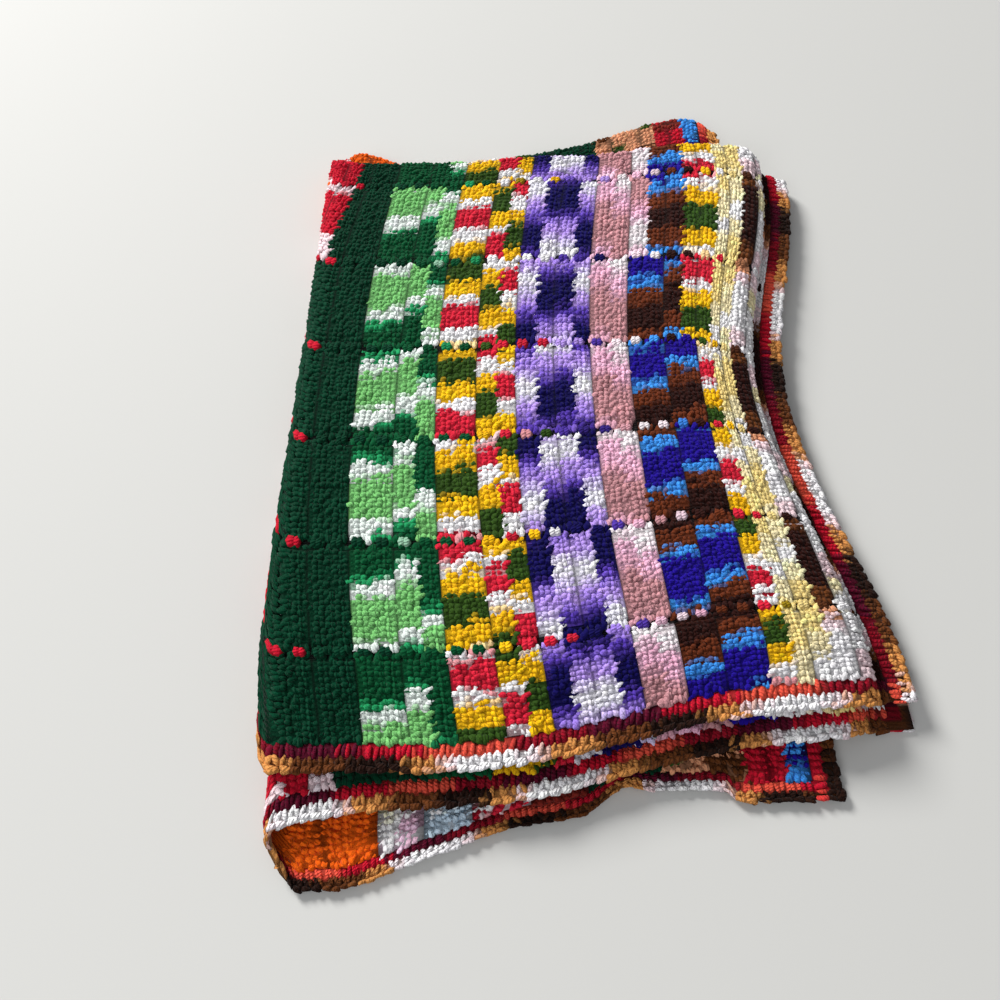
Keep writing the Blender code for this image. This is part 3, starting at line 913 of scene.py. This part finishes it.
innerTurnAlong = starts["turn"] + 20

outerLength, innerLength = foldToFronts
toInner = outerLength + math.pi * halfPitch
sideMarks = [0.0, outerLength, toInner, toInner + innerLength]


def shownFace(edge, at):
    # Past the left turn, the inner edge shows the cloth's other face.
    return np.where((edge == "inner") & (at > innerTurnAlong), -1, 1)


def borderPoint(edge, onward, outward, height):
    # Onward is millimetres along an edge, outward from the squares' own edge.
    inward = 1 - outward / borderWidth
    if edge == "outer":
        along, place = onward, inward * borderPlace
    elif edge == "inner":
        along, place = onward, narrowed(3 - inward * innerBorderPlace, onward)
    else:
        place = np.interp(onward, sideMarks, [0.0, 1.0, 2.0, 3.0])
        along = inward * borderWidth if edge == "start" else pathLength - inward * borderWidth
    return onCloth(along, place, height)


def borderPiece(item, material):
    template = loopedStitch(item.loops)
    table = colorTable(item.runs, borderBlur)
    loops = template.number[-1] + 1
    points, colors = [], []
    for edge, start in item.starts.items():
        first, last = (borderWidth, pathLength - borderWidth) if edge in longEdges else (0.0, sideMarks[-1])
        count = round((last - first) / borderStitch)
        centres = first + (np.arange(count) + 0.5) * (last - first) / count
        corners = roughened(template, count)
        slant = rng.normal(0, borderUneven["slant"], (count, loops))[:, template.number]
        onward = centres[:, None] + corners[..., 0] + slant * (corners[..., 1] - uneven["pivot"])
        onward = onward + rng.normal(0, borderUneven["onward"], (count, 1))
        outward = item.outward + corners[..., 1]
        outward = outward + rng.normal(0, borderUneven["outward"], (count, loops))[:, template.number]
        height = corners[..., 2] + rng.normal(0, borderUneven["height"], (count, 1))
        height = height * shownFace(edge, centres)[:, None]
        points.append(borderPoint(edge, onward, outward, height))
        at = ((centres - start.at) / start.stretch)[:, None]
        at = at + rng.normal(0, borderUneven["run"], (count, loops))
        tint = rng.normal(1, borderUneven["tint"], (count, loops, 1))
        shade = table[(at * tableStep).astype(int) % len(table)] * tint
        colors.append(shade[:, template.number])
    mesh = buildMesh(item.name, np.concatenate(points), template, np.concatenate(colors))
    return addPiece(item.name, mesh, material, "border")


# The band under the border's stitches: it ends this far inside their edge and reaches
# as far under the first row, with a small gap to the squares' ground.
# Its shade is painted shade: the yarn above it, darkened as if under the stitches.
bandFormAndShade = dict(half=1.3, rim=1.8, overlap=2.0, gap=0.4, gapShare=1.03, shade=0.5, alongSteps=90,
                  acrossSteps=40, foldSteps=8)


def borderGround(material):
    # One closed ring, in the yarn above it, darkened by painted shade.
    rim, gap, nearly = bandFormAndShade["rim"], bandFormAndShade["gap"], bandFormAndShade["gapShare"]
    firstRowRim = borderWidth - borderRow
    across = [rim, firstRowRim - bandFormAndShade["overlap"], firstRowRim, borderWidth - gap]
    edgeLines = len(across)
    between = np.linspace(borderWidth + gap, pathLength - borderWidth - gap, bandFormAndShade["alongSteps"])
    alongs = np.concatenate([across, between, [pathLength - value for value in reversed(across)]])
    shares = np.array(across) / borderWidth
    steps = bandFormAndShade["acrossSteps"]
    places = np.concatenate([
        shares * borderPlace,
        np.linspace(borderPlace * nearly, 1.0, steps),
        np.linspace(1.0, 2.0, bandFormAndShade["foldSteps"])[1:],
        np.linspace(2.0, 3 - innerBorderPlace * nearly, steps)[1:],
        3 - shares[::-1] * innerBorderPlace,
    ])
    along, place = np.meshgrid(alongs, places, indexing="ij")
    half = np.full(along.shape, bandFormAndShade["half"])
    inwards = narrowed(place, along)
    points = np.stack([onCloth(along, inwards, half), onCloth(along, inwards, -half)], 2)
    rowTables = {item.name: colorTable(item.runs, borderBlur) for item in (firstRow, lastRow)}
    colors = np.zeros(along.shape + (3,))
    for i, j in np.ndindex(along.shape):
        fromRim = min(i, j, len(alongs) - 1 - i, len(places) - 1 - j)
        item = lastRow if fromRim < 2 else firstRow
        onSide = edgeLines <= j < len(places) - edgeLines
        edge = ("start" if i < edgeLines else "end") if onSide else "outer" if j < edgeLines else "inner"
        onward = np.interp(place[i, j], range(4), sideMarks) if onSide else along[i, j]
        at = (onward - item.starts[edge].at) / item.starts[edge].stretch
        table = rowTables[item.name]
        # Painted shade on the band's yarn colour.
        colors[i, j] = table[int(at * tableStep) % len(table)] * bandFormAndShade["shade"]
    i, j = np.meshgrid(range(len(alongs) - 1), range(len(places) - 1), indexing="ij")
    kept = edgeLines - 1
    cells = (i < kept) | (i >= len(alongs) - 1 - kept) | (j < kept) | (j >= len(places) - 1 - kept)
    mesh = gridSolid("ground_of_border", points, np.ones(cells.shape + (3,)), colors, cells)
    return addPiece("ground_of_border", mesh, material, "border")


# Which stitches are made in full, in stitches from where the back fold begins or
# from the inner layer's front, and how many sides their loops have.
detail = dict(pastFold=3, lowerBeforeFold=3, lowerPastFold=13, front=7, sides=5, lowerSides=4)
# The upper half's pieces, from this strip to before that one.
upperPieces = (("front_squares", 0, 3), ("middle_squares", 3, 5), ("back_squares", 5, 13))


def buildSquares(material):
    made = [baseSheet(material)]
    rows, stitches = np.meshgrid(np.arange(rowCount), np.arange(stitchCount), indexing="ij")
    rows, stitches = rows.ravel(), stitches.ravel()
    strip = stripOf(stitches)
    whole = stitches - stripFirst[strip] < np.array(stripStitches)[strip] - seamWidth
    rows, stitches, strip = rows[whole], stitches[whole], strip[whole]
    fold = markNumbers[np.searchsorted(markPlaces, 1.0)]
    upperHalf = rows >= turnRow - 1
    top = upperHalf & (stitches < fold + detail["pastFold"])
    lowerFold = ~upperHalf & (stitches > fold - detail["lowerBeforeFold"])
    lowerFold = lowerFold & (stitches < fold + detail["lowerPastFold"])
    frontBand = stitches >= stitchCount - detail["front"]
    turned = rows >= turnRow + 1
    groups = [(name, top & (strip >= first) & (strip < end), 1) for name, first, end in upperPieces]
    groups += [("lower_back_edge", lowerFold, 1), ("lower_front_edge", frontBand & ~turned, 1),
               ("upper_front_edge", frontBand & turned, -1)]
    fine = np.zeros(len(rows), bool)
    for name, members, face in groups:
        fine |= members
        sides = detail["lowerSides" if name.startswith("lower") else "sides"]
        for label, loops, parity in (("even", evenLoops, 0), ("odd", oddLoops, 1)):
            chosen = members & (rows % 2 == parity)
            template = loopedStitch(loops, sides)
            made.append(crochet(name + "_" + label, template, rows[chosen], stitches[chosen], material, face))
    made.append(crochet("hidden_layers", strand(**plainForm), rows[~fine], stitches[~fine], material))
    return made


# Carried: stitches of a seam that are still in the yarn of the square before.
# Picks fall in this first share of a yarn's repeat.
seamFinish = dict(rise=0.8, row=0.05, stitch=0.06, length=0.8, longer=0.3, shade=0.92, dark=0.85,
                  lighter=0.3, carried=2, mainShare=0.55)


def seamStitches(material):
    # One plump stitch for each row on every seam; at the start of a square they
    # are still in the yarn of the square to its left.
    template = loopedStitch(seamLoops)
    rows, stitches, names = [], [], []
    for strip in range(1, len(stripStitches)):
        for row in range(rowCount):
            name, _, turn, length = rowPlan[strip, row]
            before = rowPlan[strip, row - turn - 1][0] if row > turn else name
            rows.append(row + seamTie["place"])
            stitches.append(float(stripFirst[strip]))
            names.append(before if turn < min(seamFinish["carried"], length // 2) else name)
    rows, stitches = np.array(rows), np.array(stitches)
    copies = len(rows)
    corners = np.repeat(template.corners[None], copies, 0)
    dx = corners[..., 0] / rowHeight + rng.normal(0, seamFinish["row"], (copies, 1))
    size = seamFinish["length"] + rng.random((copies, 1)) * seamFinish["longer"]
    dy = corners[..., 1] * size / stitchWidth + rng.normal(0, seamFinish["stitch"], (copies, 1))
    place = np.interp(stitches, markNumbers, markPlaces)
    face = np.where((place > 2) & (rows > turnRow + 2), -1, 1)
    dz = (corners[..., 2] - seamSlope["depth"] + seamFinish["rise"]) * face[:, None]
    points = onRows(rows[:, None] + dx, stitches[:, None] + dy, dz)
    picks = rng.random(copies) * seamFinish["mainShare"]
    base = np.stack([tables[name][int(pick * len(tables[name]))] for name, pick in zip(names, picks)])
    tint = seamFinish["dark"] + seamFinish["lighter"] * rng.random((copies, 1, 1))
    colors = np.repeat(base[:, None] * seamFinish["shade"] * tint, corners.shape[1], 1)
    mesh = buildMesh("seam_stitches", points, template, colors)
    return addPiece("seam_stitches", mesh, material, "squares")


def buildBorder(material):
    made = [borderPiece(item, material) for item in (firstRow, lastRow)]
    return made + [borderGround(material)]


# Surroundings

floorFinish = dict(reach=4.0, color=(212, 212, 209), roughness=0.8)


def buildFloor():
    material = bpy.data.materials.new("pale floor")
    shader = Tree(material).nodes["Principled BSDF"]
    shader.inputs["Base Color"].default_value = (*linear(floorFinish["color"]), 1.0)
    shader.inputs["Roughness"].default_value = floorFinish["roughness"]
    reach = floorFinish["reach"]
    corners = [(x * reach, y * reach, 0) for x, y in ((-1, -1), (1, -1), (1, 1), (-1, 1))]
    mesh = bpy.data.meshes.new("floor")
    mesh.from_pydata(corners, [], [(0, 1, 2, 3)])
    mesh.materials.append(material)
    floor = bpy.data.objects.new("floor", mesh)
    bpy.context.scene.collection.objects.link(floor)
    print("floor laid")
    return floor


Lamp = namedtuple("Lamp", "name place target size power color")
lamps = (
    Lamp("window_light", (-3.7, 4.2, 3.3), (0.0, 0.0, 0.0), 2.2, 560.0, (1.0, 0.99, 0.97)),
    Lamp("fill_light", (-1.3, -1.8, 1.5), (-0.1, 0.0, 0.0), 1.4, 19.0, (0.98, 0.99, 1.0)),
)
room = dict(color=(0.96, 0.97, 1.0, 1.0), strength=0.28)


def areaLight(lamp):
    data = bpy.data.lights.new(lamp.name, "AREA")
    data.shape = "DISK"
    data.size = lamp.size
    data.energy = lamp.power
    data.color = lamp.color
    light = bpy.data.objects.new(lamp.name, data)
    bpy.context.scene.collection.objects.link(light)
    light.location = lamp.place
    direction = np.array(lamp.target) - np.array(lamp.place)
    heading = math.atan2(direction[1], direction[0])
    tilt = math.atan2(math.hypot(direction[0], direction[1]), -direction[2])
    light.rotation_euler = (tilt, 0.0, heading - math.pi / 2)


def buildLights():
    for lamp in lamps:
        areaLight(lamp)
    world = bpy.data.worlds.new("soft_room")
    bpy.context.scene.world = world
    world.use_nodes = True
    background = world.node_tree.nodes["Background"]
    background.inputs["Color"].default_value = room["color"]
    background.inputs["Strength"].default_value = room["strength"]
    bpy.context.scene.view_settings.view_transform = "Standard"
    print("lights placed")


# Held over the near edge, looking down at the blanket; height in millimetres.
photoCamera = dict(lens=27.0, sensor=36.0, downward=62.3, height=498.0, near=0.01)


def buildCamera():
    data = bpy.data.cameras.new("camera")
    data.lens = photoCamera["lens"]
    data.sensor_width = photoCamera["sensor"]
    data.clip_start = photoCamera["near"]
    camera = bpy.data.objects.new("camera", data)
    bpy.context.scene.collection.objects.link(camera)
    camera.location = (np.array([0.0, 0.0, photoCamera["height"]]) - outlineCentre) * mm
    camera.rotation_euler = (math.pi / 2 - math.radians(photoCamera["downward"]), 0.0, 0.0)
    bpy.context.scene.camera = camera
    print("camera placed")


yarn = yarnMaterial("crochet yarn", yarnFinish)
floor = buildFloor()
squarePieces = buildSquares(yarn)
squarePieces.append(seamStitches(yarn))
borderPieces = buildBorder(yarn)
sideMarks[-1] * mm
buildLights()
buildCamera()
